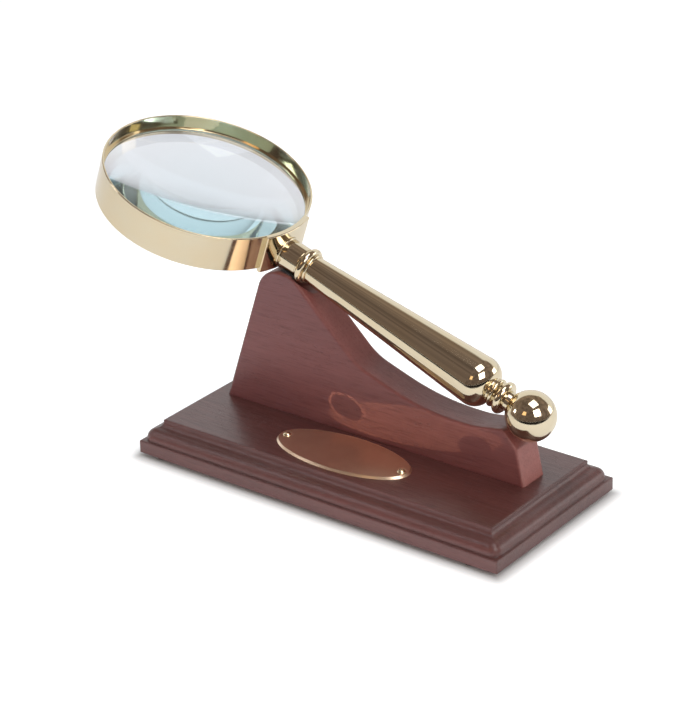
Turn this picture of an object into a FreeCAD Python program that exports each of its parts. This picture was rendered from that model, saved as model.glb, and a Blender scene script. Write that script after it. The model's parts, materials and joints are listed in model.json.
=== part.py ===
import FreeCAD, Part
import math
import os
import Sketcher

# A brass magnifying glass that lies on a moulded wooden desk stand.
#
# Frame: +X runs along the stand to the handle's ball end, +Y to the back, +Z up. The origin is
# on the surface that the feet stand on, under the middle of the whole object's own box: the
# ring reaches past the board to the left and to the back, so the board is off to one side.
#
# The magnifying glass has a frame of its own, the "glass frame": its origin is the centre of the
# ball, its X runs up the handle to the ring, and its Z is the ring's axis, which points up and
# towards the ball end. Turned pieces are drawn there as (station along the handle, radius).

Vector = FreeCAD.Vector
doc = FreeCAD.newDocument("magnifying_glass")
sheet = doc.addObject("Spreadsheet::Sheet", "dims")

DIMENSIONS = {
    # Where the middle of the base board is.
    "board_x": 25.0,
    "board_y": -5.6,
    # Base board: plan size, then its edge moulding from the bottom up.
    # An "in" is measured inwards from the board's edge, a height from its underside.
    "board_long": 203.0,
    "board_wide": 94.0,
    "board_high": 16.3,
    "tier_high": 6.5,
    "ledge_in": 1.25,
    "nose_low": 7.2,
    "nose_radius": 5.1,
    "nose_in": 5.6,
    "nose_top": 12.2,
    "cove_in": 8.4,
    "cove_top": 14.5,
    "cove_radius": 3.2,
    "corner_turn": 4.6,
    "edge_ease": 0.5,
    # Feet.
    "foot_radius": 5.0,
    "foot_high": 1.8,
    "foot_inset_ring_end": 10.5,
    "foot_inset_ball_end": 17.0,
    "foot_inset_side": 7.0,
    # Upright board: corners of its outline as (x from the board's middle, height over the
    # board's underside).
    "upright_thick": 16.7,
    "upright_middle": 8.0,
    "heel_x": -85.3,
    "peak_left_x": -60.7,
    "peak_left_up": 88.5,
    "peak_right_x": -44.0,
    "peak_right_up": 87.0,
    "hollow_x": -7.2,
    "hollow_up": 51.8,
    "saddle_x": 29.3,
    "saddle_up": 39.2,
    "rise_x": 57.0,
    "crest_x": 72.5,
    "crest_up": 41.9,
    "lip_x": 80.3,
    "lip_up": 34.0,
    "toe_x": 84.2,
    "peak_left_radius": 13.0,
    "peak_right_radius": 7.0,
    "hollow_radius": 30.0,
    "saddle_radius": 120.0,
    "rise_radius": 40.0,
    "crest_radius": 3.0,
    "lip_radius": 1.3,
    "upright_ease": 1.2,
    # Wood screws that hold the upright, driven from below.
    "screw_spacing": 90.0,
    "screw_radius": 2.0,
    "screw_head_radius": 3.8,
    "screw_head_high": 2.4,
    "screw_head_edge": 0.4,
    "screw_recess": 0.6,
    "screw_tip": 31.0,
    "screw_point": 4.0,
    "screw_clearance": 0.1,
    # Oval name plate and its two round-headed pins, from the board's middle.
    "plate_x": -1.6,
    "plate_y": -19.3,
    "plate_half_long": 36.7,
    "plate_half_wide": 16.3,
    "plate_thick": 1.0,
    "plate_bevel_angle": 40.0,
    "pin_offset": 32.6,
    "pin_head_radius": 2.0,
    "pin_head_high": 1.1,
    "pin_radius": 0.7,
    "pin_long": 7.0,
    "pin_point": 1.0,
    # Glass frame: where the ball's centre is, from the middle of the board's underside, and
    # the handle's tilt.
    "ball_x": 82.4,
    "ball_up": 48.25,
    "handle_tilt": 19.05,
    # Turned pieces: stations along the handle and radii.
    "ball_radius": 11.7,
    "ball_stem_radius": 4.7,
    "ball_stem_end": 13.2,
    "end_bead_radius": 7.9,
    "end_bead_side": 6.0,
    "end_bead_end": 17.2,
    "end_disc_radius": 6.9,
    "end_disc_waist": 5.2,
    "end_disc_end": 21.5,
    "disc_rim_half": 0.8,
    "disc_rim_flat": 0.1,
    "disc_rim_step": 0.5,
    "disc_rim_round": 0.8,
    "disc_cove_radius": 2.0,
    "bulb_start_radius": 6.2,
    "bulb_station": 30.3,
    "bulb_radius": 11.9,
    "bulb_round": 8.6,
    "handle_end": 126.4,
    "handle_end_radius": 6.6,
    "handle_wall": 1.2,
    "bush_long": 8.0,
    "collar_end": 127.9,
    "collar_radius": 7.5,
    "collar_side": 6.9,
    "neck_bead_radius": 9.2,
    "neck_bead_side": 7.2,
    "neck_bead_end": 131.7,
    "neck_cove_end": 132.5,
    "neck_cove_radius": 1.0,
    "neck_lip": 7.1,
    "ferrule_radius": 7.3,
    "ferrule_flange": 7.9,
    "flange_long": 0.8,
    "flange_round": 0.5,
    "rod_radius": 2.0,
    "rod_start": 4.0,
    "rod_end": 140.0,
    "rod_clearance": 0.05,
    # Ring, lens and the yoke that joins them to the handle.
    "ring_station": 195.2,
    "ring_outer": 50.2,
    "ring_wall": 1.0,
    "ring_low": -6.2,
    "ring_top": 11.8,
    "rim_round": 0.35,
    "lens_radius": 49.0,
    "lens_low": 1.1,
    "lens_high": 4.1,
    "lens_crown": 5.8,
    "snap_ring_wide": 1.0,
    "snap_ring_high": 0.7,
    "snap_ring_ease": 0.3,
    "snap_ring_gap": 0.25,
    "yoke_half_angle": 17.0,
    "yoke_thick": 2.2,
    "yoke_low": -7.2,
    "yoke_high": 19.7,
    "yoke_ease": 0.5,
    "rivet_angle": 10.0,
    "rivet_level": -3.2,
    "rivet_radius": 1.0,
    "rivet_head_radius": 1.8,
    "rivet_head_high": 0.8,
    "rivet_inset": 0.05,
    # Seats in the upright: running gaps, the felt strip under the ferrule, and the pockets for
    # the beads and for the ferrule's flange.
    "seat_gap": 0.25,
    "felt_thick": 1.2,
    "felt_end": 140.4,
    "bead_pocket_radius": 9.6,
    "bead_pocket_long": 18.0,
    "flange_pocket_radius": 9.0,
}

for row, (alias, size) in enumerate(DIMENSIONS.items(), start=1):
    sheet.set(f"A{row}", alias)
    sheet.set(f"B{row}", str(size))
    sheet.setAlias(f"B{row}", alias)
doc.recompute()


def value(expression):
    """The number that an expression over the sheet gives."""
    return float(sheet.evalExpression(expression))


def dim(alias):
    """An expression that names one cell of the sheet."""
    return f"dims.{alias}"


# ---------------------------------------------------------------- helpers

def new_body(label, placement=None):
    body = doc.addObject("PartDesign::Body", label)
    body.Label = label
    if placement is not None:
        body.Placement = placement
    return body


def arc_edge(start, end, radius):
    """The short arc between two points: it bulges to the right of the way from start to end,
    or to the left if the radius is negative. Like every sketch arc, it turns anticlockwise."""
    chord = end - start
    left = Vector(-chord.y, chord.x, 0).normalize()
    half = chord.Length / 2
    reach = math.sqrt(radius * radius - half * half)
    centre = (start + end) * 0.5 + left * math.copysign(reach, radius)
    first, last = (start, end) if radius > 0 else (end, start)
    first_angle = math.atan2(first.y - centre.y, first.x - centre.x)
    last_angle = math.atan2(last.y - centre.y, last.x - centre.x)
    if last_angle < first_angle:
        last_angle += 2 * math.pi
    circle = Part.Circle(centre, Vector(0, 0, 1), abs(radius))
    return Part.ArcOfCircle(circle, first_angle, last_angle)


def dome(half, rise):
    """The radius of an arc that is 2 * half wide and stands up by rise."""
    return f"(({half}) ^ 2 + ({rise}) ^ 2) / (2 * ({rise}))"


def add_sketch(body, role):
    sketch = body.newObject("Sketcher::SketchObject", body.Label + "_outline")
    plane = next(f for f in body.Origin.OriginFeatures if f.Role == role)
    sketch.AttachmentSupport = [(plane, "")]
    sketch.MapMode = "FlatFace"
    return sketch


def outline(body, role, corners):
    """A closed sketch on one of the body's own planes. Each corner is (across, up) or
    (across, up, radius) as expressions; a radius makes the edge to the next corner an arc."""
    sketch = add_sketch(body, role)
    points = [Vector(value(c[0]), value(c[1]), 0) for c in corners]
    count = len(corners)
    for i, corner in enumerate(corners):
        start = points[i]
        end = points[(i + 1) % count]
        if len(corner) == 3:
            sketch.addGeometry(arc_edge(start, end, value(corner[2])))
        else:
            sketch.addGeometry(Part.LineSegment(start, end))
    ends = [end_points(sketch, i, points[i]) for i in range(count)]
    bound = []
    for i, corner in enumerate(corners):
        begin, finish = ends[i]
        following = (i + 1) % count
        joint = Sketcher.Constraint("Coincident", i, finish, following, ends[following][0])
        bound.append((joint, None))
        bound.append((Sketcher.Constraint("DistanceX", i, begin, points[i].x), corner[0]))
        bound.append((Sketcher.Constraint("DistanceY", i, begin, points[i].y), corner[1]))
        if len(corner) == 3:
            radius = Sketcher.Constraint("Radius", i, abs(value(corner[2])))
            bound.append((radius, f"abs({corner[2]})"))
    sketch.addConstraint([constraint for constraint, expression in bound])
    for index, (constraint, expression) in enumerate(bound):
        if expression is not None:
            sketch.setExpression(f"Constraints[{index}]", expression)
    return sketch


def end_points(sketch, index, start):
    """Sketcher's numbers, 1 or 2, for the end that lies at start and for the other end."""
    first = sketch.Geometry[index].StartPoint
    return (1, 2) if first.distanceToPoint(start) < 1e-6 else (2, 1)


def turned(label, corners, placement, axis="H_Axis"):
    """A piece turned on a lathe: its section, revolved about the sketch's own axis."""
    body = new_body(label, placement)
    sketch = outline(body, "XZ_Plane", corners)
    spin = body.newObject("PartDesign::Revolution", label + "_turning")
    spin.Profile = sketch
    spin.ReferenceAxis = (sketch, [axis])
    spin.Angle = 360
    return body


def padded(label, role, corners, length, placement=None, symmetric=False):
    """A piece cut from flat stock: its outline, given a thickness."""
    body = new_body(label, placement)
    sketch = outline(body, role, corners)
    pad = body.newObject("PartDesign::Pad", label + "_pad")
    pad.Profile = sketch
    pad.setExpression("Length", length)
    pad.SideType = "Symmetric" if symmetric else "One side"
    return body


def round_edges(body, label, radius, chosen):
    """Fillets the edges of the body's tip that chosen(edge) picks."""
    doc.recompute()
    base = body.Tip
    names = [f"Edge{i}" for i, edge in enumerate(base.Shape.Edges, start=1) if chosen(edge)]
    fillet = body.newObject("PartDesign::Fillet", label)
    fillet.Base = (base, names)
    fillet.setExpression("Radius", radius)
    body.Tip = fillet
    return fillet


def cylinder(label, radius, length, placement):
    tool = doc.addObject("Part::Cylinder", label)
    tool.setExpression("Radius", radius)
    tool.setExpression("Height", length)
    tool.Placement = placement
    return tool


def cut(label, base, tools):
    """base with all the tools taken away."""
    tool = tools[0]
    if len(tools) > 1:
        tool = doc.addObject("Part::MultiFuse", label + "_tools")
        tool.Shapes = tools
    result = doc.addObject("Part::Cut", label)
    result.Label = label
    result.Base = base
    result.Tool = tool
    return result


def common(label, first, second):
    result = doc.addObject("Part::Common", label)
    result.Label = label
    result.Base = first
    result.Tool = second
    return result


def group(label, members):
    """Identical fasteners as one node of separate solids."""
    result = doc.addObject("Part::Compound", label)
    result.Label = label
    result.Links = members
    return result


def at(x, y, z, rotation=None):
    return FreeCAD.Placement(Vector(x, y, z), rotation or FreeCAD.Rotation())


# ---------------------------------------------------------------- shared places

TILT = math.radians(value(dim("handle_tilt")))
ALONG_HANDLE = Vector(-math.cos(TILT), 0, math.sin(TILT))
RING_AXIS = Vector(math.sin(TILT), 0, math.cos(TILT))
UPRIGHT_MIDDLE = value(dim("upright_middle"))
FLOOR = at(value(dim("board_x")), value(dim("board_y")), 0)
BOARD = FLOOR * at(0, 0, value(dim("foot_high")))
BOARD_TOP = BOARD * at(0, 0, value(dim("board_high")))
ALONG_GLASS = FreeCAD.Rotation(ALONG_HANDLE, Vector(0, -1, 0), RING_AXIS, "ZXY")
GLASS = BOARD * at(value(dim("ball_x")), UPRIGHT_MIDDLE, value(dim("ball_up")), ALONG_GLASS)
RING = GLASS * at(value(dim("ring_station")), 0, 0)
X_FORWARD = FreeCAD.Rotation(Vector(0, 0, 1), Vector(1, 0, 0))


def on_handle(station):
    """Where a cylinder stands that begins at a station and runs up the handle."""
    return GLASS * at(value(station), 0, 0, X_FORWARD)


# ---------------------------------------------------------------- base board and feet

def board_section(half):
    """The board's cross-section, with its moulding on both sides."""
    right = [
        (f"{half} - dims.edge_ease", "0", "dims.edge_ease"),
        (half, "dims.edge_ease"),
        (half, "dims.tier_high - dims.edge_ease", "dims.edge_ease"),
        (f"{half} - dims.edge_ease", "dims.tier_high"),
        (f"{half} - dims.ledge_in", "dims.tier_high"),
        (f"{half} - dims.ledge_in", "dims.nose_low", "dims.nose_radius"),
        (f"{half} - dims.nose_in", "dims.nose_top", "-dims.cove_radius"),
        (f"{half} - dims.cove_in", "dims.cove_top"),
        (f"{half} - dims.cove_in", "dims.board_high - dims.edge_ease", "dims.edge_ease"),
        (f"{half} - dims.cove_in - dims.edge_ease", "dims.board_high"),
    ]
    left = []
    for i in range(len(right) - 1, -1, -1):
        across, up = right[i][:2]
        arc = right[i - 1][2:] if i else ()
        left.append((f"-({across})", up) + arc)
    return right + left


def corner_waste(x_side, y_side):
    """What is taken off the nose at one corner, so that it is turned round the corner."""
    x = x_side * value("dims.board_long / 2 - dims.ledge_in - dims.corner_turn")
    y = y_side * value("dims.board_wide / 2 - dims.ledge_in - dims.corner_turn")
    kept = turned("nose_turn", [
        ("0", "dims.tier_high"),
        ("dims.corner_turn", "dims.tier_high"),
        ("dims.corner_turn", "dims.nose_low", "dims.nose_radius"),
        ("dims.corner_turn + dims.ledge_in - dims.nose_in", "dims.nose_top"),
        ("0", "dims.nose_top"),
    ], at(x, y, 0), axis="V_Axis")
    block = doc.addObject("Part::Box", "corner_block")
    block.setExpression("Length", "dims.corner_turn + dims.ledge_in")
    block.setExpression("Width", "dims.corner_turn + dims.ledge_in")
    block.setExpression("Height", "dims.nose_top - dims.tier_high")
    outwards = math.degrees(math.atan2(y_side, x_side)) - 45
    block.Placement = at(x, y, value(dim("tier_high")),
                         FreeCAD.Rotation(Vector(0, 0, 1), outwards))
    return cut("corner_waste", block, [kept])


def make_board():
    """The moulding runs round all four edges: each section is run the full length of the other,
    and the board is what they share. Its ledge and its cove are mitred, and its nose is turned
    round the corners."""
    lengthwise = padded("board_run_x", "YZ_Plane", board_section("dims.board_wide / 2"),
                        dim("board_long"), symmetric=True)
    crosswise = padded("board_run_y", "XZ_Plane", board_section("dims.board_long / 2"),
                       dim("board_wide"), symmetric=True)
    blank = common("board_blank", lengthwise, crosswise)
    tools = [corner_waste(x_side, y_side) for x_side in (-1, 1) for y_side in (-1, 1)]
    for side in (-1, 1):
        x = side * value("dims.screw_spacing / 2")
        tools.append(cylinder("screw_hole", "dims.screw_radius + dims.screw_clearance",
                              dim("board_high"), at(x, UPRIGHT_MIDDLE, 0)))
        tools.append(cylinder("head_recess", "dims.screw_head_radius + dims.screw_clearance",
                              "dims.screw_recess + dims.screw_head_high",
                              at(x, UPRIGHT_MIDDLE, 0)))
        x = value(dim("plate_x")) + side * value(dim("pin_offset"))
        depth = value("dims.board_high + dims.plate_thick - dims.pin_long")
        tools.append(cylinder("pin_hole", dim("pin_radius"), dim("pin_long"),
                              at(x, value(dim("plate_y")), depth)))
    board = cut("base_board", blank, tools)
    board.Placement = BOARD
    return board


def make_foot(label, x, y):
    """A round pad, eased where it meets the table."""
    section = [
        ("0", "0"),
        ("dims.foot_radius - dims.edge_ease", "0", "dims.edge_ease"),
        ("dims.foot_radius", "dims.edge_ease"),
        ("dims.foot_radius", "dims.foot_high"),
        ("0", "dims.foot_high"),
    ]
    return turned(label, section, FLOOR * at(x, y, 0), axis="V_Axis")


def make_feet():
    ring_end = value("-dims.board_long / 2 + dims.foot_inset_ring_end")
    ball_end = value("dims.board_long / 2 - dims.foot_inset_ball_end")
    side = value("dims.board_wide / 2 - dims.foot_inset_side")
    feet = []
    for depth, y in (("front", -side), ("back", side)):
        for end, x in (("ring_end", ring_end), ("ball_end", ball_end)):
            feet.append(make_foot(f"foot_{depth}_{end}", x, y))
    return feet


# ---------------------------------------------------------------- upright and its screws

def make_upright_blank():
    """The upright before its seats are cut. Its outline runs from the heel under the ring, up
    to the peak that holds the neck, down a long hollow under the handle, and up to the crest
    that holds the ball."""
    corners = [
        ("dims.heel_x", "dims.board_high"),
        ("dims.toe_x", "dims.board_high"),
        ("dims.lip_x", "dims.lip_up"),
        ("dims.crest_x", "dims.crest_up"),
        ("dims.rise_x", "dims.saddle_up"),
        ("dims.saddle_x", "dims.saddle_up"),
        ("dims.hollow_x", "dims.hollow_up"),
        ("dims.peak_right_x", "dims.peak_right_up"),
        ("dims.peak_left_x", "dims.peak_left_up"),
    ]
    body = padded("upright_blank", "XZ_Plane", corners, dim("upright_thick"),
                  BOARD * at(0, UPRIGHT_MIDDLE, 0), symmetric=True)
    for corner in ("peak_left", "peak_right", "hollow", "saddle", "rise", "crest", "lip"):
        x = value(dim(corner + "_x"))
        level = "saddle_up" if corner == "rise" else corner + "_up"
        up = value(dim(level))
        round_edges(body, corner + "_round", dim(corner + "_radius"),
                    lambda edge: runs_through(edge, x, up))
    round_edges(body, "upright_easing", dim("upright_ease"), is_upright_border)
    return body


def runs_through(edge, x, up):
    """True for the edge across the board's thickness at one corner of the outline."""
    return all(abs(v.X - x) < 0.01 and abs(v.Z - up) < 0.01 for v in edge.Vertexes)


def is_upright_border(edge):
    """True for the outline's edges on the front and back faces, apart from the bottom ones."""
    half = value("dims.upright_thick / 2")
    on_face = all(abs(abs(v.Y) - half) < 0.01 for v in edge.Vertexes)
    same_face = abs(edge.Vertexes[0].Y - edge.Vertexes[-1].Y) < 0.01
    foot = value(dim("board_high")) + 0.01
    return on_face and same_face and any(v.Z > foot for v in edge.Vertexes)


def make_upright(blank):
    """The blank with a groove for the felt and ferrule, pockets for the neck's beads and the
    ferrule's flange, a dimple for the ball, and pilot holes for the screws."""
    groove = cylinder("felt_groove", "dims.ferrule_radius + dims.seat_gap + dims.felt_thick",
                      "dims.felt_end - dims.neck_cove_end", on_handle("dims.neck_cove_end"))
    bead_pocket = cylinder("bead_pocket", dim("bead_pocket_radius"), dim("bead_pocket_long"),
                           on_handle("dims.neck_cove_end - dims.bead_pocket_long"))
    flange_pocket = cylinder("flange_pocket", dim("flange_pocket_radius"),
                             "dims.ring_station - dims.ring_outer - dims.felt_end",
                             on_handle("dims.felt_end"))
    dimple = doc.addObject("Part::Sphere", "ball_dimple")
    dimple.setExpression("Radius", "dims.ball_radius + dims.seat_gap")
    dimple.Placement = GLASS
    tools = [groove, bead_pocket, flange_pocket, dimple]
    for side in (-1, 1):
        x = side * value("dims.screw_spacing / 2")
        tools.append(cylinder("pilot_hole", dim("screw_radius"),
                              "dims.screw_tip - dims.board_high",
                              BOARD_TOP * at(x, UPRIGHT_MIDDLE, 0)))
    return cut("upright", blank, tools)


def make_felt(blank):
    """A felt strip that lines the groove, flush with the wood round it."""
    long = "dims.felt_end - dims.neck_cove_end"
    outside = cylinder("felt_outside", "dims.ferrule_radius + dims.seat_gap + dims.felt_thick",
                       long, on_handle("dims.neck_cove_end"))
    inside = cylinder("felt_inside", "dims.ferrule_radius + dims.seat_gap",
                      long, on_handle("dims.neck_cove_end"))
    return common("neck_felt", cut("felt_tube", outside, [inside]), blank)


def make_upright_screws():
    """Flat-headed wood screws: the head in its recess, the shank in the board's clearance
    hole, and the tip in the upright."""
    section = [
        ("0", "dims.screw_recess"),
        ("dims.screw_head_radius", "dims.screw_recess"),
        ("dims.screw_head_radius", "dims.screw_recess + dims.screw_head_edge"),
        ("dims.screw_radius", "dims.screw_recess + dims.screw_head_high"),
        ("dims.screw_radius", "dims.screw_tip - dims.screw_point"),
        ("0", "dims.screw_tip"),
    ]
    screws = []
    for side in (-1, 1):
        x = side * value("dims.screw_spacing / 2")
        place = BOARD * at(x, UPRIGHT_MIDDLE, 0)
        screws.append(turned("wood_screw", section, place, axis="V_Axis"))
    return group("upright_screws", screws)


# ---------------------------------------------------------------- name plate

def make_name_plate():
    """A thin oval with a bevelled edge and a hole near each end."""
    bevel = "dims.plate_thick * tan(dims.plate_bevel_angle * 1deg)"
    bottom = oval("plate_bottom", "0", "0")
    top = oval("plate_top", bevel, dim("plate_thick"))
    blank = doc.addObject("Part::Loft", "plate_blank")
    blank.Sections = [bottom, top]
    blank.Solid = True
    blank.Ruled = True
    tools = []
    for side in (-1, 1):
        x = side * value(dim("pin_offset"))
        tools.append(cylinder("plate_hole", dim("pin_radius"), dim("plate_thick"), at(x, 0, 0)))
    plate = cut("name_plate", blank, tools)
    plate.Placement = BOARD_TOP * at(value(dim("plate_x")), value(dim("plate_y")), 0)
    return plate


def oval(label, inset, level):
    """The plate's outline, drawn in by an inset, at one level."""
    ellipse = doc.addObject("Part::Ellipse", label)
    ellipse.setExpression("MajorRadius", f"dims.plate_half_long - {inset}")
    ellipse.setExpression("MinorRadius", f"dims.plate_half_wide - {inset}")
    ellipse.Placement = at(0, 0, value(level))
    return ellipse


def make_plate_pin(label, side):
    """A small nail with a domed head that rests on the plate."""
    section = [
        ("0", "dims.plate_thick - dims.pin_long"),
        ("dims.pin_radius", "dims.plate_thick - dims.pin_long + dims.pin_point"),
        ("dims.pin_radius", "dims.plate_thick"),
        ("dims.pin_head_radius", "dims.plate_thick",
         dome("dims.pin_head_radius", "dims.pin_head_high")),
        ("0", "dims.plate_thick + dims.pin_head_high"),
    ]
    x = value(dim("plate_x")) + side * value(dim("pin_offset"))
    place = BOARD_TOP * at(x, value(dim("plate_y")), 0)
    return turned(label, section, place, axis="V_Axis")


# ---------------------------------------------------------------- handle

ROD = "dims.rod_radius"
ROD_HOLE = "dims.rod_radius + dims.rod_clearance"


def bored(corners, start, end, bore=ROD_HOLE):
    """A turned section with a bore of one radius between two stations."""
    return [(start, bore), (end, bore)] + corners


def make_ball():
    """The ball finial with its stem. The tie rod is screwed into its blind hole."""
    shoulder = "sqrt(dims.ball_radius ^ 2 - dims.ball_stem_radius ^ 2)"
    section = [
        ("-dims.ball_radius", "0"),
        ("dims.rod_start", "0"),
        ("dims.rod_start", ROD),
        ("dims.ball_stem_end", ROD),
        ("dims.ball_stem_end", "dims.ball_stem_radius"),
        (shoulder, "dims.ball_stem_radius", "dims.ball_radius"),
        ("0", "dims.ball_radius", "dims.ball_radius"),
    ]
    return turned("ball_finial", section, GLASS)


def bulge(start, end, rise):
    """The radius of an arc that stands up by rise between two stations."""
    return dome(f"(({end}) - ({start})) / 2", rise)


def make_end_bead():
    rise = "dims.end_bead_radius - dims.end_bead_side"
    section = bored([
        ("dims.end_bead_end", "dims.end_bead_side",
         bulge("dims.ball_stem_end", "dims.end_bead_end", rise)),
        ("dims.ball_stem_end", "dims.end_bead_side"),
    ], "dims.ball_stem_end", "dims.end_bead_end")
    return turned("end_bead", section, GLASS)


def make_end_disc():
    """A waisted collar with a thin rim in its middle."""
    middle = "(dims.end_bead_end + dims.end_disc_end) / 2"
    rim_side = "dims.end_disc_radius - dims.disc_rim_step"
    section = bored([
        ("dims.end_disc_end", "dims.bulb_start_radius", "-dims.disc_cove_radius"),
        (f"{middle} + dims.disc_rim_half", rim_side, "dims.disc_rim_round"),
        (f"{middle} + dims.disc_rim_flat", "dims.end_disc_radius"),
        (f"{middle} - dims.disc_rim_flat", "dims.end_disc_radius", "dims.disc_rim_round"),
        (f"{middle} - dims.disc_rim_half", rim_side, "-dims.disc_cove_radius"),
        ("dims.end_bead_end", "dims.end_disc_waist"),
    ], "dims.end_bead_end", "dims.end_disc_end")
    return turned("end_disc", section, GLASS)


TAPER = "(dims.bulb_radius - dims.handle_end_radius) / (dims.handle_end - dims.bulb_station)"


def make_handle_tube():
    """A hollow taper that swells to a bulb at the ball end. A bush plugs each end."""
    section = [
        ("dims.end_disc_end", "dims.bulb_start_radius - dims.handle_wall"),
        ("dims.end_disc_end + dims.bush_long", "dims.bulb_start_radius - dims.handle_wall"),
        ("dims.bulb_station + dims.handle_wall",
         f"dims.bulb_radius - dims.handle_wall * (1 + {TAPER})"),
        ("dims.handle_end", "dims.handle_end_radius - dims.handle_wall"),
        ("dims.handle_end", "dims.handle_end_radius"),
        ("dims.bulb_station", "dims.bulb_radius", "dims.bulb_round"),
        ("dims.end_disc_end", "dims.bulb_start_radius"),
    ]
    return turned("handle_tube", section, GLASS)


def make_rear_bush():
    radius = "dims.bulb_start_radius - dims.handle_wall"
    end = "dims.end_disc_end + dims.bush_long"
    section = bored([(end, radius), ("dims.end_disc_end", radius)], "dims.end_disc_end", end)
    return turned("handle_rear_bush", section, GLASS)


def make_front_bush():
    """A tapered plug that fits the handle's small end."""
    start = "dims.handle_end - dims.bush_long"
    small = "dims.handle_end_radius - dims.handle_wall"
    section = bored([
        ("dims.handle_end", small),
        (start, f"{small} + {TAPER} * dims.bush_long"),
    ], start, "dims.handle_end")
    return turned("handle_front_bush", section, GLASS)


def make_neck_collar():
    """A thin rounded ring at the handle's small end."""
    rise = "dims.collar_radius - dims.collar_side"
    section = bored([
        ("dims.collar_end", "dims.collar_side",
         bulge("dims.handle_end", "dims.collar_end", rise)),
        ("dims.handle_end", "dims.collar_side"),
    ], "dims.handle_end", "dims.collar_end")
    return turned("neck_collar", section, GLASS)


def make_neck_bead():
    """The large bead, with a narrow cove between it and the ferrule."""
    rise = "dims.neck_bead_radius - dims.neck_bead_side"
    section = bored([
        ("dims.neck_cove_end", "dims.neck_lip", "-dims.neck_cove_radius"),
        ("dims.neck_bead_end", "dims.neck_bead_side",
         bulge("dims.collar_end", "dims.neck_bead_end", rise)),
        ("dims.collar_end", "dims.neck_bead_side"),
    ], "dims.collar_end", "dims.neck_cove_end")
    return turned("neck_bead", section, GLASS)


def make_tie_rod():
    """The threaded rod that pulls the turned pieces together, from ferrule to ball."""
    cylinder_place = on_handle("dims.rod_start")
    rod = cylinder("tie_rod", ROD, "dims.rod_end - dims.rod_start", cylinder_place)
    rod.Label = "tie_rod"
    return rod


def make_ferrule():
    """The neck tube, flanged at the yoke and cut to the yoke's curve."""
    face = "dims.ring_station - dims.ring_outer - dims.yoke_thick"
    flange_start = f"{face} - dims.flange_long"
    section = [
        ("dims.neck_cove_end", ROD),
        ("dims.rod_end", ROD),
        ("dims.rod_end", "0"),
        (f"{face} + dims.yoke_thick", "0"),
        (f"{face} + dims.yoke_thick", "dims.ferrule_flange"),
        (f"{flange_start} + dims.flange_round", "dims.ferrule_flange", "dims.flange_round"),
        (flange_start, "dims.ferrule_flange - dims.flange_round"),
        (flange_start, "dims.ferrule_radius"),
        ("dims.neck_cove_end", "dims.ferrule_radius"),
    ]
    blank = turned("ferrule_blank", section, GLASS)
    saddle = cylinder("ferrule_saddle", "dims.ring_outer + dims.yoke_thick",
                      "4 * dims.ferrule_flange",
                      RING * at(0, 0, -value("2 * dims.ferrule_flange")))
    return cut("ferrule", blank, [saddle])


# ---------------------------------------------------------------- ring and lens

def make_ring_band():
    """A thin band with softly rounded rims, pierced for the yoke's two rivets."""
    inner = "dims.ring_outer - dims.ring_wall"
    ease = "dims.rim_round"
    section = [
        (inner + f" + {ease}", "dims.ring_low"),
        (f"dims.ring_outer - {ease}", "dims.ring_low", ease),
        ("dims.ring_outer", f"dims.ring_low + {ease}"),
        ("dims.ring_outer", f"dims.ring_top - {ease}", ease),
        (f"dims.ring_outer - {ease}", "dims.ring_top"),
        (inner + f" + {ease}", "dims.ring_top", ease),
        (inner, f"dims.ring_top - {ease}"),
        (inner, f"dims.ring_low + {ease}", ease),
    ]
    blank = turned("ring_blank", section, RING, axis="V_Axis")
    return cut("ring_band", blank, rivet_holes("ring"))


def make_snap_ring(label, level):
    """A flat ring that lies against the band and holds the lens's edge."""
    outer = "dims.ring_outer - dims.ring_wall"
    section = [
        (f"{outer} - dims.snap_ring_wide", level),
        (outer, level),
        (outer, f"{level} + dims.snap_ring_high"),
        (f"{outer} - dims.snap_ring_wide + dims.snap_ring_ease",
         f"{level} + dims.snap_ring_high", "dims.snap_ring_ease"),
        (f"{outer} - dims.snap_ring_wide",
         f"{level} + dims.snap_ring_high - dims.snap_ring_ease"),
    ]
    return turned(label, section, RING, axis="V_Axis")


def make_lens():
    """A lens with two equal spherical faces and a ground edge."""
    curve = dome("dims.lens_radius", "dims.lens_crown")
    section = [
        ("0", "dims.lens_low - dims.lens_crown", curve),
        ("dims.lens_radius", "dims.lens_low"),
        ("dims.lens_radius", "dims.lens_high", curve),
        ("0", "dims.lens_high + dims.lens_crown"),
    ]
    return turned("lens", section, RING, axis="V_Axis")


# ---------------------------------------------------------------- yoke

def around_ring(angle, radius, level):
    """A frame on the ring's side of the handle: its X points out of the ring."""
    turn = FreeCAD.Rotation(Vector(0, 0, 1), 180 + angle)
    return RING * FreeCAD.Placement(Vector(), turn) * at(radius, 0, level)


def rivet_holes(label):
    """Holes straight through band and yoke, from inside the band to outside the yoke."""
    holes = []
    for side in (-1, 1):
        place = around_ring(side * value(dim("rivet_angle")),
                            value("dims.ring_outer - 2 * dims.ring_wall"),
                            value(dim("rivet_level")))
        hole = cylinder(label + "_rivet_hole", dim("rivet_radius"),
                        "2 * (dims.ring_wall + dims.yoke_thick)",
                        place * at(0, 0, 0, X_FORWARD))
        holes.append(hole)
    return holes


def make_yoke_plate():
    """A saddle plate that hugs the band and stands a little over both rims."""
    inner = "dims.ring_outer"
    outer = "(dims.ring_outer + dims.yoke_thick)"
    corners = [
        yoke_corner(inner, -1) + (f"-{inner}",),
        yoke_corner(inner, 1),
        yoke_corner(outer, 1) + (outer,),
        yoke_corner(outer, -1),
    ]
    body = padded("yoke_blank", "XY_Plane", corners, dim("yoke_high"),
                  RING * at(0, 0, value(dim("yoke_low"))))
    far = value(outer)
    round_edges(body, "yoke_easing", dim("yoke_ease"), lambda edge: all(
        abs(math.hypot(v.X, v.Y) - far) < 0.01 for v in edge.Vertexes))
    return cut("yoke_plate", body, rivet_holes("yoke"))


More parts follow.
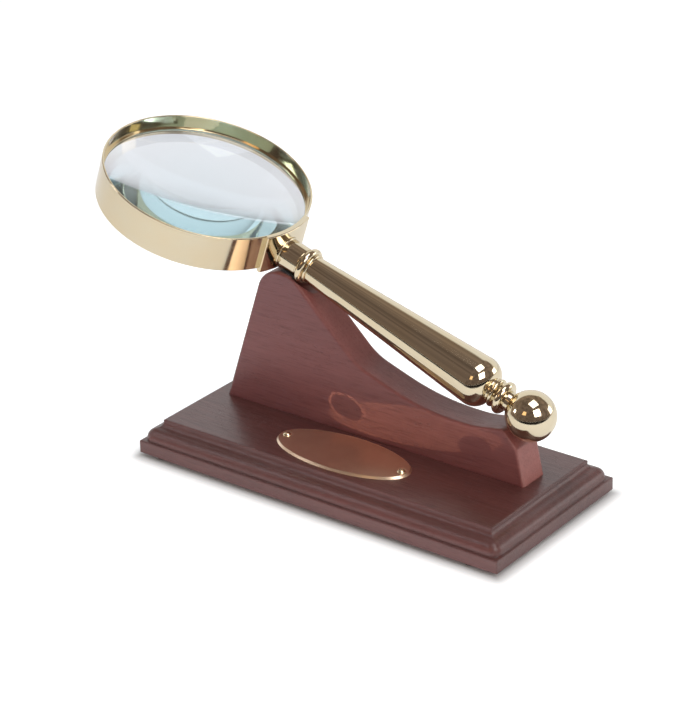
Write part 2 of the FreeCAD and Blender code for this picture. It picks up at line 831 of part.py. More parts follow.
def yoke_corner(radius, side):
    """One corner of the plate's outline, on a circle about the ring's axis."""
    angle = "dims.yoke_half_angle * 1deg"
    return (f"-{radius} * cos({angle})", f"{side} * {radius} * sin({angle})")


def make_yoke_rivets():
    """Two rivets: a domed head inside the band, a shank flush with the yoke's outer face."""
    under_head = "-dims.ring_wall - dims.rivet_inset"
    section = [
        (f"{under_head} - dims.rivet_head_high", "0"),
        ("dims.yoke_thick - dims.rivet_inset", "0"),
        ("dims.yoke_thick - dims.rivet_inset", "dims.rivet_radius"),
        (under_head, "dims.rivet_radius"),
        (under_head, "dims.rivet_head_radius",
         dome("dims.rivet_head_radius", "dims.rivet_head_high")),
    ]
    rivets = []
    for side in (-1, 1):
        place = around_ring(side * value(dim("rivet_angle")), value(dim("ring_outer")),
                            value(dim("rivet_level")))
        rivets.append(turned("rivet", section, place))
    return group("yoke_rivets", rivets)


# ---------------------------------------------------------------- the whole object

upright_blank = make_upright_blank()
pieces = [
    make_board(),
    *make_feet(),
    make_upright(upright_blank),
    make_felt(upright_blank),
    make_upright_screws(),
    make_name_plate(),
    make_plate_pin("plate_pin_left", -1),
    make_plate_pin("plate_pin_right", 1),
    make_ball(),
    make_end_bead(),
    make_end_disc(),
    make_rear_bush(),
    make_handle_tube(),
    make_front_bush(),
    make_neck_collar(),
    make_neck_bead(),
    make_tie_rod(),
    make_ferrule(),
    make_yoke_plate(),
    make_yoke_rivets(),
    make_ring_band(),
    make_snap_ring("lens_seat_ring",
                   "dims.lens_low - dims.snap_ring_gap - dims.snap_ring_high"),
    make_lens(),
    make_snap_ring("lens_retaining_ring", "dims.lens_high + dims.snap_ring_gap"),
]
doc.recompute()

for item in doc.Objects:
    if "Invalid" in item.State or "Error" in item.State:
        raise RuntimeError(f"{item.Label} did not recompute: {item.State}")

os.makedirs("parts", exist_ok=True)
for piece in pieces:
    shape = piece.Shape
    if shape.isNull() or not shape.isValid():
        raise RuntimeError(f"{piece.Label} has no valid shape")
    shape.exportStep(f"parts/{piece.Label}.step")
    print(f"{piece.Label}: {len(shape.Solids)} solid, {shape.Volume:.1f} mm3")
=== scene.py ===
import json
import math

import bmesh
import bpy
from mathutils import Matrix, Vector


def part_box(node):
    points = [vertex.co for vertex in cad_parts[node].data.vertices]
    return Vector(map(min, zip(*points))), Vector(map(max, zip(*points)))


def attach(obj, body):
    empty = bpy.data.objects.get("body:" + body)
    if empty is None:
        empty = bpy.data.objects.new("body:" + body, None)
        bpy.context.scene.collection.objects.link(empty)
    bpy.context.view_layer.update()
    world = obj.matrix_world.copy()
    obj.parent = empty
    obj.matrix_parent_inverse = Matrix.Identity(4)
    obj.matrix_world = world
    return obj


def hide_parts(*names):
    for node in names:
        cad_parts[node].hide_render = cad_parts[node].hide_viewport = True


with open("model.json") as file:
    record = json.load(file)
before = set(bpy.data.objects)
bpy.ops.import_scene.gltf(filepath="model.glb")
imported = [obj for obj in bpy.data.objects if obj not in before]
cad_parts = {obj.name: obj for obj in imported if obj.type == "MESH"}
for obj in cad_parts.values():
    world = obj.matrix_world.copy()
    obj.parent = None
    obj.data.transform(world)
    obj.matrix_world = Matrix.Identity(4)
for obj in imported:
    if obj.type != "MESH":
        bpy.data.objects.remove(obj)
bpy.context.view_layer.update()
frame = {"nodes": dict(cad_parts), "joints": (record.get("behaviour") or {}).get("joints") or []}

# A brass magnifying glass on a moulded wooden stand, in metres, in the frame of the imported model:
# +X towards the handle's ball end, +Y to the back, +Z up from the surface that the feet stand on.
# Colours are linear.

NODES = frame["nodes"]
MM = 0.001


def middle(node):
    low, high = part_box(node)
    return (low + high) / 2


def half_size(node):
    low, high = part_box(node)
    return (high - low) / 2


# The ring's axis, which the glass lifts along; the way along the handle from the ball to the
# ring; and the turn that lays the X axis along the handle.
LIFT = Vector(frame["joints"][0]["axis"]).normalized()
ALONG = Vector((-LIFT.z, 0, LIFT.x))
HANDLE_TURN = (0, math.atan2(LIFT.x, LIFT.z), 0)

# The lens: how thick its edge is, and how far each face bulges beyond that.
LENS_RADIUS = 49.0 * MM
LENS_EDGE = 3.0 * MM
LENS_CROWN = 5.8 * MM
LENS_RINGS = 64
LENS_SEGMENTS = 288

PINS = ("plate_pin_left", "plate_pin_right")
WHITE = (1.0, 1.0, 1.0, 1.0)


def rgb(red, green, blue):
    return (red, green, blue, 1.0)


# ---------------------------------------------------------------- shader helpers

class Graph:
    """A node tree. Each call adds nodes and gives back one output."""

    def __init__(self, tree):
        self.tree = tree
        tree.nodes.clear()

    def add(self, kind, inputs=None, settings=None, output=0):
        node = self.tree.nodes.new(kind)
        for key, setting in (settings or {}).items():
            setattr(node, key, setting)
        for key, source in (inputs or {}).items():
            self.feed(node.inputs[key], source)
        return node.outputs[output]

    def feed(self, socket, source):
        """Links a socket to another node's output, or gives it a value of its own."""
        if isinstance(source, bpy.types.NodeSocket):
            self.tree.links.new(source, socket)
        else:
            socket.default_value = source

    def place(self, scale=(1, 1, 1), turn=(0, 0, 0), shift=(0, 0, 0)):
        """Object coordinates, turned and moved, and then stretched."""
        here = self.add("ShaderNodeTexCoord", output="Object")
        turned = self.add("ShaderNodeMapping", {"Vector": here, "Rotation": turn,
                                                "Location": shift})
        return self.add("ShaderNodeMapping", {"Vector": turned, "Scale": scale})

    def noise(self, vector, scale=1.0, detail=3.0, roughness=0.55, distortion=0.0):
        return self.add("ShaderNodeTexNoise", {
            "Vector": vector, "Scale": scale, "Detail": detail, "Roughness": roughness,
            "Distortion": distortion})

    def span(self, factor, low, high, to_low=0.0, to_high=1.0, shape="LINEAR"):
        """factor's span low to high, spread over to_low to to_high and held there."""
        return self.add("ShaderNodeMapRange", {
            "Value": factor, "From Min": low, "From Max": high,
            "To Min": to_low, "To Max": to_high}, {"clamp": True, "interpolation_type": shape})

    def blend(self, factor, first, second, kind="MIX"):
        """Two colours, blended by the factor."""
        return self.add("ShaderNodeMix", {0: factor, 6: first, 7: second},
                        {"data_type": "RGBA", "blend_type": kind}, output=2)

    def ramp(self, factor, stops):
        """Colours at places along the factor, blended between them."""
        node = self.tree.nodes.new("ShaderNodeValToRGB")
        self.feed(node.inputs[0], factor)
        marks = node.color_ramp.elements
        ready = len(marks)
        for k, (place, colour) in enumerate(stops):
            mark = marks[k] if k < ready else marks.new(place)
            mark.position = place
            mark.color = colour
        return node.outputs[0]

    def calc(self, operation, *sources):
        return self.add("ShaderNodeMath", dict(enumerate(sources)), {"operation": operation})

    def vector(self, operation, *sources):
        """Vector arithmetic. A length or a dot product comes back as a number."""
        output = "Value" if operation in ("LENGTH", "DOT_PRODUCT") else "Vector"
        return self.add("ShaderNodeVectorMath", dict(enumerate(sources)),
                        {"operation": operation}, output)

    def mixed(self, first, second, share):
        """A sum of two patterns, with the second one's share of the whole."""
        return self.calc("ADD", self.calc("MULTIPLY", first, 1 - share),
                         self.calc("MULTIPLY", second, share))


class Surface(Graph):
    """A new material's node tree, with a Principled shader in it."""

    def __init__(self, name):
        self.material = bpy.data.materials.new(name)
        self.material.use_nodes = True
        super().__init__(self.material.node_tree)
        self.output = self.tree.nodes.new("ShaderNodeOutputMaterial")
        self.shader = self.tree.nodes.new("ShaderNodeBsdfPrincipled")
        self.tree.links.new(self.shader.outputs[0], self.output.inputs["Surface"])

    def set(self, **inputs):
        """Sets the shader's sockets; an underscore in a name stands for a space."""
        for key, source in inputs.items():
            self.feed(self.shader.inputs[key.replace("_", " ")], source)

    def bump(self, height, distance, normal=None):
        inputs = {"Height": height, "Distance": distance, "Strength": 1.0}
        if normal is not None:
            inputs["Normal"] = normal
        return self.add("ShaderNodeBump", inputs)


# ---------------------------------------------------------------- materials

def brass(name, colour, warm, roughness, scratch=1.0):
    """Polished brass: a faint warm cloudiness, wiping marks, and fine turning lines that run
    round the handle."""
    g = Surface(name)
    here = g.place(turn=HANDLE_TURN)
    cloud = g.noise(here, scale=55.0, detail=4.0)
    smudge = g.noise(here, scale=240.0, detail=5.0, roughness=0.65, distortion=0.6)
    lines = g.noise(g.place((2600.0, 60.0, 60.0), HANDLE_TURN), detail=2.0)
    hairs = g.noise(g.place((90.0, 1500.0, 700.0), HANDLE_TURN), roughness=0.6, distortion=0.4)
    smudged = roughness * 1.9
    g.set(Metallic=1.0, Base_Color=g.blend(g.span(cloud, 0.35, 0.75), colour, warm),
          Roughness=g.span(smudge, 0.35, 0.75, roughness, smudged))
    g.set(Normal=g.bump(g.mixed(lines, hairs, share=0.4), 0.0035 * MM * scratch))
    return g.material


def satin_plate(name, colour, warm):
    """Copper-toned satin plate: a fine drawn grain along X, a faint tarnish, and a shallow dent
    round each pin, where its head was driven home."""
    head, dent_end, dent_depth = 2.0 * MM, 4.2 * MM, 0.6 * MM
    g = Surface(name)
    offsets = [g.vector("SUBTRACT", g.place(), middle(pin)) for pin in PINS]
    dents = [g.span(g.vector("LENGTH", offset), head, dent_end, -1.0, 0.0) for offset in offsets]
    drawn = g.noise(g.place((300.0, 9000.0, 9000.0)), detail=2.0)
    tarnish = g.noise(g.place(), scale=130.0, detail=4.0)
    g.set(Metallic=1.0, Base_Color=g.blend(g.span(tarnish, 0.3, 0.75), colour, warm),
          Roughness=g.span(drawn, 0.3, 0.7, 0.30, 0.35),
          Normal=g.bump(g.calc("ADD", *dents), dent_depth))
    return g.material


def grain_places(g, shift):
    """Gives a function that stretches the wood's coordinates. Their grain runs along X in slow
    waves, up to half the sway either way."""
    sway = 4.0 * MM
    bend = g.noise(g.place((9.0, 30.0, 30.0), shift=shift), detail=2.0)
    moved = g.span(bend, 0.0, 1.0, -sway / 2, sway / 2)
    waves = g.add("ShaderNodeCombineXYZ", {"Y": moved, "Z": moved})
    here = g.vector("ADD", g.place(shift=shift), waves)

    def along(length, width):
        return g.add("ShaderNodeMapping", {"Vector": here, "Scale": (length, width, width)})

    return along


def wood(name, dark, mid, light, shift=(0, 0, 0), tooth=1.0, gloss=0.35):
    """Stained mahogany under satin lacquer: slow clouds of colour, fine wavy lines, and short
    dark pores that the lacquer does not quite fill."""
    g = Surface(name)
    along = grain_places(g, shift)
    figure = g.noise(along(5.0, 26.0), detail=4.0)
    streak = g.noise(along(26.0, 340.0), detail=4.0, roughness=0.6)
    lines = g.noise(along(90.0, 1300.0))
    speck = g.noise(along(420.0, 2600.0), detail=1.0)
    patch = g.noise(along(30.0, 80.0), detail=2.0)
    broad = g.blend(g.span(figure, 0.30, 0.72), dark, mid)
    streaked = g.blend(g.span(streak, 0.44, 0.74, 0.0, 0.4), broad, light)
    fibred = g.blend(g.span(lines, 0.52, 0.66, 0.0, 0.20), streaked, dark, "MULTIPLY")
    pores = g.calc("MULTIPLY", g.span(speck, 0.62, 0.72), g.span(patch, 0.35, 0.65, 0.3, 1.0))
    g.set(Base_Color=g.blend(g.calc("MULTIPLY", pores, 0.30), fibred, rgb(0.014, 0.005, 0.004)),
          Roughness=g.span(lines, 0.3, 0.7, 0.42, 0.56), Specular_IOR_Level=0.35)
    set_lacquer(g, along, lines, pores, tooth, gloss)
    return g.material


def set_lacquer(g, along, lines, pores, tooth, gloss):
    """The wood's relief: eased corners, raised lines and sunk pores, and over them a lacquer
    that also has slow waves of its own."""
    corner = 1.2 * MM
    soft = g.add("ShaderNodeBevel", {"Radius": corner}, {"samples": 4})
    raised = g.calc("ADD", g.calc("MULTIPLY", lines, 0.20), g.calc("MULTIPLY", pores, -1.0))
    waves = g.noise(along(240.0, 420.0), detail=2.0)
    grain = g.bump(raised, 0.06 * MM * tooth, soft)
    g.set(Normal=grain, Coat_Normal=g.bump(waves, 0.10 * MM * tooth, grain),
          Coat_Weight=gloss, Coat_Roughness=0.27, Coat_IOR=1.5)


def lens_glass(name):
    """Clear optical glass, faintly blue where the light's way through it is long. Its grey-blue
    tint on every pass is painted shade, which dims what shows through the lens.
    """
    g = Surface(name)
    # Painted shade: the grey-blue base colour dims all light that passes through the glass.
    g.set(Base_Color=rgb(0.86, 0.87, 0.92), Roughness=0.0, IOR=1.52, Transmission_Weight=1.0)
    tint = g.add("ShaderNodeVolumeAbsorption", {"Color": rgb(0.45, 0.92, 0.97), "Density": 8.0})
    g.feed(g.output.inputs["Volume"], tint)
    return g.material


def ground_edge(name):
    """The lens's ground edge: white and matt, and seen only through the glass. It has a faint
    teal painted glow, though it is no lamp.
    """
    g = Surface(name)
    tooth = g.noise(g.place(), scale=2500.0, detail=2.0)
    g.set(Base_Color=g.blend(g.span(tooth, 0.3, 0.7), rgb(0.62, 0.72, 0.70),
                             rgb(0.80, 0.86, 0.84)))
    # Painted glow: a faint teal emission, though the edge is no lamp.
    g.set(Roughness=0.9, Specular_IOR_Level=0.0, Emission_Color=rgb(0.55, 0.85, 0.82),
          Emission_Strength=0.08)
    return g.material


def felt(name):
    """Black wool felt: matted clumps, and a dusty sheen along its edges. Under the neck its black
    is partly painted shade, standing for the shade there as well as the felt.
    """
    g = Surface(name)
    here = g.place()
    clumps = g.noise(here, scale=900.0, detail=4.0, roughness=0.7)
    hairs = g.noise(here, scale=4200.0, roughness=0.7, distortion=1.5)
    # Near-black: the felt's own colour, and partly painted shade under the neck.
    g.set(Base_Color=g.blend(g.span(clumps, 0.3, 0.7), rgb(0.008, 0.008, 0.009),
                             rgb(0.03, 0.03, 0.033)))
    g.set(Roughness=0.95, Sheen_Weight=0.5, Sheen_Roughness=0.4,
          Sheen_Tint=rgb(0.6, 0.6, 0.65), Specular_IOR_Level=0.2)
    g.set(Normal=g.bump(g.calc("ADD", clumps, hairs), 0.25 * MM))
    return g.material


def rubber(name):
    """Dull brown foot pad with a fine moulded tooth."""
    g = Surface(name)
    here = g.place()
    tooth = g.noise(here, scale=3000.0, detail=2.0)
    dust = g.noise(here, scale=260.0, detail=4.0)
    g.set(Base_Color=g.blend(g.span(dust, 0.4, 0.8), rgb(0.035, 0.022, 0.019),
                             rgb(0.07, 0.05, 0.045)))
    g.set(Roughness=g.span(tooth, 0.3, 0.7, 0.6, 0.8), Specular_IOR_Level=0.35)
    g.set(Normal=g.bump(tooth, 0.03 * MM))
    return g.material


def steel(name):
    """Zinc-plated steel, with turning marks and a mottled crystal bloom."""
    g = Surface(name)
    here = g.place()
    bloom = g.add("ShaderNodeTexVoronoi", {"Vector": here, "Scale": 900.0})
    g.set(Base_Color=g.blend(g.span(bloom, 0.0, 0.8), rgb(0.55, 0.55, 0.53),
                             rgb(0.70, 0.71, 0.72)), Metallic=1.0)
    g.set(Roughness=g.span(g.noise(here, scale=800.0), 0.3, 0.7, 0.25, 0.42))
    g.set(Normal=g.bump(g.noise(g.place((200.0, 200.0, 4000.0))), 0.01 * MM))
    return g.material


def assign(material, *nodes):
    for name in nodes:
        mesh = NODES[name].data
        mesh.materials.clear()
        mesh.materials.append(material)


def dress_magnifier():
    polished = brass("polished_brass", rgb(0.70, 0.62, 0.46), rgb(0.71, 0.60, 0.41), 0.065)
    turned = brass("turned_brass", rgb(0.64, 0.50, 0.30), rgb(0.60, 0.43, 0.23), 0.22, scratch=3.0)
    assign(polished, "ball_finial", "end_bead", "end_disc", "handle_tube", "neck_collar",
           "neck_bead", "ferrule", "yoke_plate", "ring_band", "lens_seat_ring",
           "lens_retaining_ring")
    assign(turned, "handle_rear_bush", "handle_front_bush", "tie_rod", "yoke_rivets")


def dress_stand():
    base = wood("base_mahogany", rgb(0.050, 0.014, 0.012), rgb(0.085, 0.024, 0.021),
                rgb(0.112, 0.035, 0.030), tooth=1.6, gloss=0.75)
    upright = wood("upright_mahogany", rgb(0.122, 0.034, 0.030), rgb(0.165, 0.047, 0.042),
                   rgb(0.205, 0.064, 0.056), shift=(0.31, 0.17, 0.05))
    plate = satin_plate("satin_copper", rgb(0.93, 0.74, 0.56), rgb(0.86, 0.67, 0.50))
    assign(plate, "name_plate")
    assign(brass("pin_brass", rgb(0.88, 0.76, 0.55), rgb(0.85, 0.70, 0.48), 0.08), *PINS)
    assign(base, "base_board")
    assign(upright, "upright")
    # The felt's black is partly painted shade under the neck.
    assign(felt("black_felt_and_painted_shade"), "neck_felt")
    assign(rubber("foot_rubber"), "foot_front_ring_end", "foot_front_ball_end",
           "foot_back_ring_end", "foot_back_ball_end")
    assign(steel("zinc_steel"), "upright_screws")


# ---------------------------------------------------------------- pieces

def new_piece(name, mesh, body, slot, *materials):
    for material in materials:
        mesh.materials.append(material)
    piece = bpy.data.objects.new(name, mesh)
    bpy.context.scene.collection.objects.link(piece)
    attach(piece, body)
    return piece


def turned_mesh(name, section, centre, axis, start, segments):
    """A closed mesh turned about an axis. A section row is (radius, height)."""
    same_point = 1e-7
    side = axis.cross(start)
    shape = bmesh.new()
    columns = []
    for k in range(segments):
        angle = 2 * math.pi * k / segments
        out = start * math.cos(angle) + side * math.sin(angle)
        columns.append([shape.verts.new(centre + out * radius + axis * height)
                        for radius, height in section])
    for k, column in enumerate(columns):
        after = columns[(k + 1) % segments]
        for i in range(len(section) - 1):
            shape.faces.new((column[i], after[i], after[i + 1], column[i + 1]))
    bmesh.ops.remove_doubles(shape, verts=shape.verts, dist=same_point)
    bmesh.ops.recalc_face_normals(shape, faces=shape.faces)
    for face in shape.faces:
        face.smooth = True
    mesh = bpy.data.meshes.new(name)
    shape.to_mesh(mesh)
    shape.free()
    return mesh


def lens_section():
    """The lens's outline from one pole to the other. Its rings crowd together at the edge."""
    bulge = (LENS_RADIUS ** 2 + LENS_CROWN ** 2) / (2 * LENS_CROWN)
    radii = [LENS_RADIUS * math.sin(math.pi / 2 * i / LENS_RINGS) for i in range(LENS_RINGS + 1)]
    upper = []
    for radius in radii:
        dome = math.sqrt(bulge ** 2 - radius ** 2) - (bulge - LENS_CROWN)
        upper.append((radius, LENS_EDGE / 2 + max(dome, 0)))
    lower = [(radius, -height) for radius, height in upper]
    return lower + upper[::-1]


def make_lens():
    """A lens that bulges on both sides, with a ground edge."""
    mesh = turned_mesh("lens_disc", lens_section(), middle("lens"), LIFT, ALONG, LENS_SEGMENTS)
    piece = new_piece("lens_disc", mesh, "magnifier", "lens_glass",
                      lens_glass("clear_glass"), ground_edge("ground_glass_edge_painted_glow"))
    for face in mesh.polygons:
        on_edge = abs(face.normal.dot(LIFT)) < 0.1
        if on_edge:
            face.material_index = 1
            face.use_smooth = False
    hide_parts("lens")
    piece.visible_shadow = False


# ---------------------------------------------------------------- camera

CAMERA_AZIMUTH = math.radians(37.595)
CAMERA_HEIGHT = math.radians(25.087)
CAMERA_ROLL = math.radians(-1.484)
CAMERA_AIM = Vector((8.3, 1.6, 56.2)) * MM
CAMERA_REACH = 1.2
CAMERA_LENS = 133.75
CAMERA_SENSOR = 36.0


def make_camera():
    data = bpy.data.cameras.new("camera")
    data.sensor_width = CAMERA_SENSOR
    data.lens = CAMERA_LENS
    camera = bpy.data.objects.new("camera", data)
    bpy.context.scene.collection.objects.link(camera)
    across = Vector((math.cos(CAMERA_AZIMUTH), math.sin(CAMERA_AZIMUTH), 0))
    back = Vector((math.sin(CAMERA_AZIMUTH) * math.cos(CAMERA_HEIGHT),
                   -math.cos(CAMERA_AZIMUTH) * math.cos(CAMERA_HEIGHT),
                   math.sin(CAMERA_HEIGHT)))
    basis = Matrix((across, back.cross(across), back)).transposed()
    roll = Matrix.Rotation(CAMERA_ROLL, 3, "Z")
    camera.matrix_world = (basis @ roll).to_4x4()
    camera.location = CAMERA_AIM + back * CAMERA_REACH
    bpy.context.scene.camera = camera


# ---------------------------------------------------------------- studio

# How bright the floor glows for everything else, and for the camera.
FLOOR_SIZE = 60.0
FLOOR_GLOW = 0.26
FLOOR_GLOW_SEEN = 0.5

# The table's end: how far it is from the middle of the floor, and the dark sheet beyond it.
TABLE_END = 0.30
TABLE_END_WIDTH = 8.0
TABLE_END_DEPTH = 4.0
TABLE_END_HEIGHT = 0.5 * MM


def beyond_board(g):
    """How far a point of the floor is outside the board's outline."""
    centre = middle("base_board")
    reach = half_size("base_board")
    here = g.add("ShaderNodeTexCoord", output="Object")
    offset = g.vector("ABSOLUTE", g.vector("SUBTRACT", here, (centre.x, centre.y, 0)))
    beyond = g.vector("SUBTRACT", offset, (reach.x, reach.y, 0))
    return g.vector("LENGTH", g.vector("MAXIMUM", beyond, (0, 0, 0)))


def make_floor():
    """A wide pale floor that glows a little, more so for the camera, so that it comes out
    white. Beside the board its glow fades and its colour darkens: a painted contact shadow."""
    bpy.ops.mesh.primitive_plane_add(size=FLOOR_SIZE)
    floor = bpy.context.object
    floor.name = "floor"
    g = Surface("pale_floor")
    away = beyond_board(g)
    seen = g.add("ShaderNodeLightPath", output="Is Camera Ray")
    # Painted contact shadow: the glow fades beside the board.
    glow = g.calc("MULTIPLY", g.span(seen, 0.0, 1.0, FLOOR_GLOW, FLOOR_GLOW_SEEN),
                  g.span(away, 0.5 * MM, 8.5 * MM))
    # Painted contact shadow: the floor's colour darkens beside the board.
    pale = g.blend(g.span(away, 0.0, 5.0 * MM), rgb(0.58, 0.60, 0.61), rgb(0.83, 0.86, 0.88))
    g.set(Base_Color=pale, Roughness=0.9, Specular_IOR_Level=0.0,
          Emission_Color=rgb(0.96, 0.99, 1.0), Emission_Strength=glow)
    floor.data.materials.append(g.material)


def make_table_end():
    """A dark sheet that only reflections see, where a table would end on the camera's side."""
    bpy.ops.mesh.primitive_plane_add(size=1.0)
    sheet = bpy.context.object
    sheet.name = "table_end"
    sheet.scale = (TABLE_END_WIDTH, TABLE_END_DEPTH, 1.0)
    sheet.rotation_euler = (0, 0, CAMERA_AZIMUTH)
    front = Vector((math.sin(CAMERA_AZIMUTH), -math.cos(CAMERA_AZIMUTH), 0))
    sheet.location = front * (TABLE_END + TABLE_END_DEPTH / 2) + Vector((0, 0, TABLE_END_HEIGHT))
    g = Surface("dark_table_end")
    g.set(Base_Color=rgb(0.02, 0.02, 0.02), Roughness=1.0, Specular_IOR_Level=0.0)
    sheet.data.materials.append(g.material)
    sheet.visible_camera = False
    sheet.visible_diffuse = False
    sheet.visible_transmission = False
    sheet.visible_shadow = False


def softbox(name, towards, distance, size, brightness, colour=(1, 1, 1)):
    """A square light that faces the object. Its brightness is its own radiance."""
    data = bpy.data.lights.new(name, "AREA")
    data.shape = "SQUARE"
    data.size = size
    data.energy = brightness * math.pi * size * size
    data.color = colour
    light = bpy.data.objects.new(name, data)
    bpy.context.scene.collection.objects.link(light)
    outward = Vector(towards).normalized()
    light.location = CAMERA_AIM + outward * distance
    light.rotation_euler = outward.to_track_quat("Z", "Y").to_euler()
    light.visible_camera = False
    return light


def shine_on(light, node, others_shade=False):
    """Lets a light reach one node only, shaded by that node alone or by the others too."""
    lit = bpy.data.collections.new("lit_by_" + light.name)
    lit.objects.link(NODES[node])
    light.light_linking.receiver_collection = lit
    if not others_shade:
        light.light_linking.blocker_collection = lit


def make_studio_lights():
    """The lights that the brass mirrors, and two soft ones that nothing mirrors."""
    softbox("softbox_top", (0.27, -0.04, 0.96), distance=1.5, size=0.80, brightness=3.3)
    softbox("softbox_right", (0.776, -0.308, 0.55), distance=1.6, size=0.80, brightness=5.2,
            colour=(1.0, 0.95, 0.92))
    back = softbox("strip_back", (0.677, 0.706, 0.206), distance=1.6, size=0.55, brightness=2.5)
    back.visible_transmission = False
    softbox("lamp_left", (-0.730, -0.585, 0.355), distance=1.8, size=0.34, brightness=5.0)
    softbox("lamp_warm", (0.041, -0.842, 0.537), distance=1.6, size=0.42, brightness=1.6,
            colour=(1.0, 0.66, 0.34))
    ceiling = softbox("ceiling_left", (-0.55, -0.20, 0.81), distance=1.8, size=1.1, brightness=0.6)
    ceiling.visible_glossy = False
    fill = softbox("front_fill", (0.35, -0.90, 0.22), distance=2.6, size=2.2, brightness=1.7)
    fill.visible_glossy = False
    fill.visible_transmission = False


def make_wood_lights():
    """Lights that reach one piece of wood each: their sheen, the glow on the upright's end,
    and what a white table throws up at the board."""
    sheen = softbox("wood_sheen", (-0.55, -0.42, 0.72), distance=1.6, size=0.60, brightness=2.0,
                    colour=(0.92, 0.93, 1.0))
    shine_on(sheen, "base_board", others_shade=True)
    cool = softbox("upright_sheen", (-0.652, -0.711, -0.266), distance=0.313, size=0.14,
                   brightness=5.0, colour=(0.45, 0.75, 1.0))
    shine_on(cool, "upright")
    end = softbox("end_glow", (0.87, 0.22, -0.44), distance=1.6, size=0.70, brightness=15.0,
                  colour=(1.0, 0.86, 0.74))
    shine_on(end, "upright")
    bounce = softbox("table_bounce", (0.10, -0.80, -0.60), distance=2.0, size=1.4, brightness=7.0,
                     colour=(1.0, 0.90, 0.94))
    shine_on(bounce, "base_board")


# ---------------------------------------------------------------- the plate's glint

# A low lamp, which the plate mirrors onto the upright.
GLINT_LAMP = Vector((-217.0, -216.0, 135.0)) * MM
GLINT_ENERGY = 4.6
GLINT_COLOUR = (0.88, 1.0, 0.66)
GLINT_EDGE = 1.08

# The shade round each pin, an oval on the plate whose shape is given here. The left one has a
# bright rim.
SHADE_SQUAT = 1.54
SHADE_CORE = 7.6 * MM
SHADE_REACH = 8.6 * MM
RIM_LIT_TO = (9.0 * MM, 10.0 * MM)
RIM_END = 10.5 * MM
RIM_BRIGHT = 1.6


def plate_places(g, lamp, oval):
    """Where a ray from the lamp crosses the plate's level: X and Y from the plate's middle."""
    towards = g.add("ShaderNodeTexCoord", output="Normal")
    split = g.tree.nodes.new("ShaderNodeSeparateXYZ")
    g.feed(split.inputs[0], towards)
    rise = oval.z - lamp.z
    slopes = [g.calc("DIVIDE", split.outputs[axis], split.outputs[2]) for axis in (0, 1)]
    return [g.calc("MULTIPLY_ADD", slopes[axis], rise, lamp[axis] - oval[axis])
            for axis in (0, 1)]


def glint_outline(g, place, half):
    """Light inside the plate's oval outline and none outside it."""
    shares = [g.calc("DIVIDE", place[axis], half[axis]) for axis in (0, 1)]
    squares = [g.calc("MULTIPLY", share, share) for share in shares]
    reach = g.calc("SQRT", g.calc("ADD", *squares))
    return g.span(reach, 1.0, GLINT_EDGE, 1.0, 0.0, "SMOOTHSTEP")


def shade_reach(g, place, pin_x, lamp, oval):
    """The distance from a pin, measured so that the shade lands as an oval on the upright."""
    lean = (oval.x - lamp.x) / (oval.y - lamp.y)
    squat = SHADE_SQUAT * (oval.z - lamp.z) / (oval.y - lamp.y)
    straight = g.calc("SUBTRACT", place[0], pin_x)
    across = g.calc("MULTIPLY_ADD", place[1], -lean, straight)
    upward = g.calc("MULTIPLY", place[1], squat)
    return g.calc("SQRT", g.calc("ADD", g.calc("MULTIPLY", across, across),
                                 g.calc("MULTIPLY", upward, upward)))


def glint_pattern(g, lamp, oval):
    """The plate's outline in light, with a dark oval where each pin dents the plate."""
    place = plate_places(g, lamp, oval)
    light = glint_outline(g, place, half_size("name_plate"))
    for pin in PINS:
        reach = shade_reach(g, place, middle(pin).x - oval.x, lamp, oval)
        if pin == "plate_pin_left":
            disc = g.span(reach, *RIM_LIT_TO, 1.0, 0.0, "SMOOTHSTEP")
            rim = g.span(reach, SHADE_REACH, RIM_END, RIM_BRIGHT, 1.0, "SMOOTHSTEP")
            light = g.calc("MULTIPLY", g.calc("MAXIMUM", light, disc), rim)
        hole = g.span(reach, SHADE_CORE, SHADE_REACH, 0.0, 1.0, "SMOOTHSTEP")
        light = g.calc("MULTIPLY", light, hole)
    return light


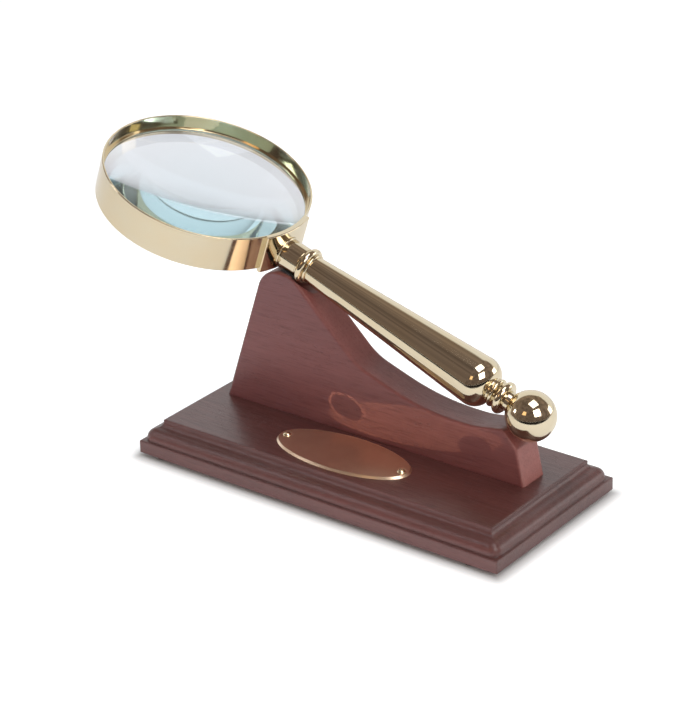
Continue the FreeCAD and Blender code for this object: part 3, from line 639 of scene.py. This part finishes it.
def make_plate_glint():
    """The patch of light low on the upright, as if the plate mirrored a low lamp onto it. A
    point lamp stands at that lamp's mirror image, under the board, and shines only through
    the plate's outline and only on the upright."""
    oval = middle("name_plate")
    oval.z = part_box("name_plate")[1].z
    lamp = Vector((GLINT_LAMP.x, GLINT_LAMP.y, 2 * oval.z - GLINT_LAMP.z))
    data = bpy.data.lights.new("plate_glint", "POINT")
    data.energy = GLINT_ENERGY
    data.color = GLINT_COLOUR
    data.shadow_soft_size = 0.0
    data.use_nodes = True
    g = Graph(data.node_tree)
    glow = g.add("ShaderNodeEmission", {"Strength": glint_pattern(g, lamp, oval)})
    g.feed(g.tree.nodes.new("ShaderNodeOutputLight").inputs[0], glow)
    light = bpy.data.objects.new("plate_glint", data)
    bpy.context.scene.collection.objects.link(light)
    light.location = lamp
    light.visible_camera = False
    light.visible_glossy = False
    shine_on(light, "upright")


# ---------------------------------------------------------------- surroundings

# Half of the room is dark. Its shades go by how far a direction turns to that half's middle,
# from 0, straight away from it, to 1.
DARK_HALF = (0.472, -0.734, 0.488)
ROOM_SHADES = (
    (0.385, WHITE),
    (0.42, rgb(0.27, 0.21, 0.175)),
    (0.55, rgb(0.25, 0.195, 0.165)),
    (0.85, rgb(0.165, 0.127, 0.112)),
)
WHITE_HALF_END = 0.40


def make_world():
    """White behind the object and dark in the room on the camera's side, which is what the
    polished brass mirrors. Only the dark side is mottled. The camera itself sees white past
    the floor's edge."""
    world = bpy.data.worlds.new("studio")
    bpy.context.scene.world = world
    world.use_nodes = True
    g = Graph(world.node_tree)
    here = g.add("ShaderNodeTexCoord", output="Generated")
    facing = g.calc("MULTIPLY_ADD", g.vector("DOT_PRODUCT", here, DARK_HALF), 0.5, 0.5)
    shade = g.ramp(facing, ROOM_SHADES)
    mottle = g.noise(here, scale=5.0, detail=2.0, roughness=0.5)
    mottled = g.add("ShaderNodeVectorMath",
                    {0: shade, "Scale": g.span(mottle, 0.35, 0.65, 0.72, 1.3)},
                    {"operation": "SCALE"})
    room = g.blend(g.calc("LESS_THAN", facing, WHITE_HALF_END), mottled, shade)
    seen = g.add("ShaderNodeLightPath", output="Is Camera Ray")
    background = g.add("ShaderNodeBackground", {"Color": g.blend(seen, room, WHITE)})
    g.feed(g.tree.nodes.new("ShaderNodeOutputWorld").inputs[0], background)


dress_magnifier()
dress_stand()
make_lens()
make_camera()
make_floor()
make_table_end()
make_studio_lights()
make_wood_lights()
make_plate_glint()
make_world()
bpy.context.scene.view_settings.view_transform = "Standard"
# Light is passed on inside the lens by its two faces many times.
bpy.context.scene.cycles.glossy_bounces = 10
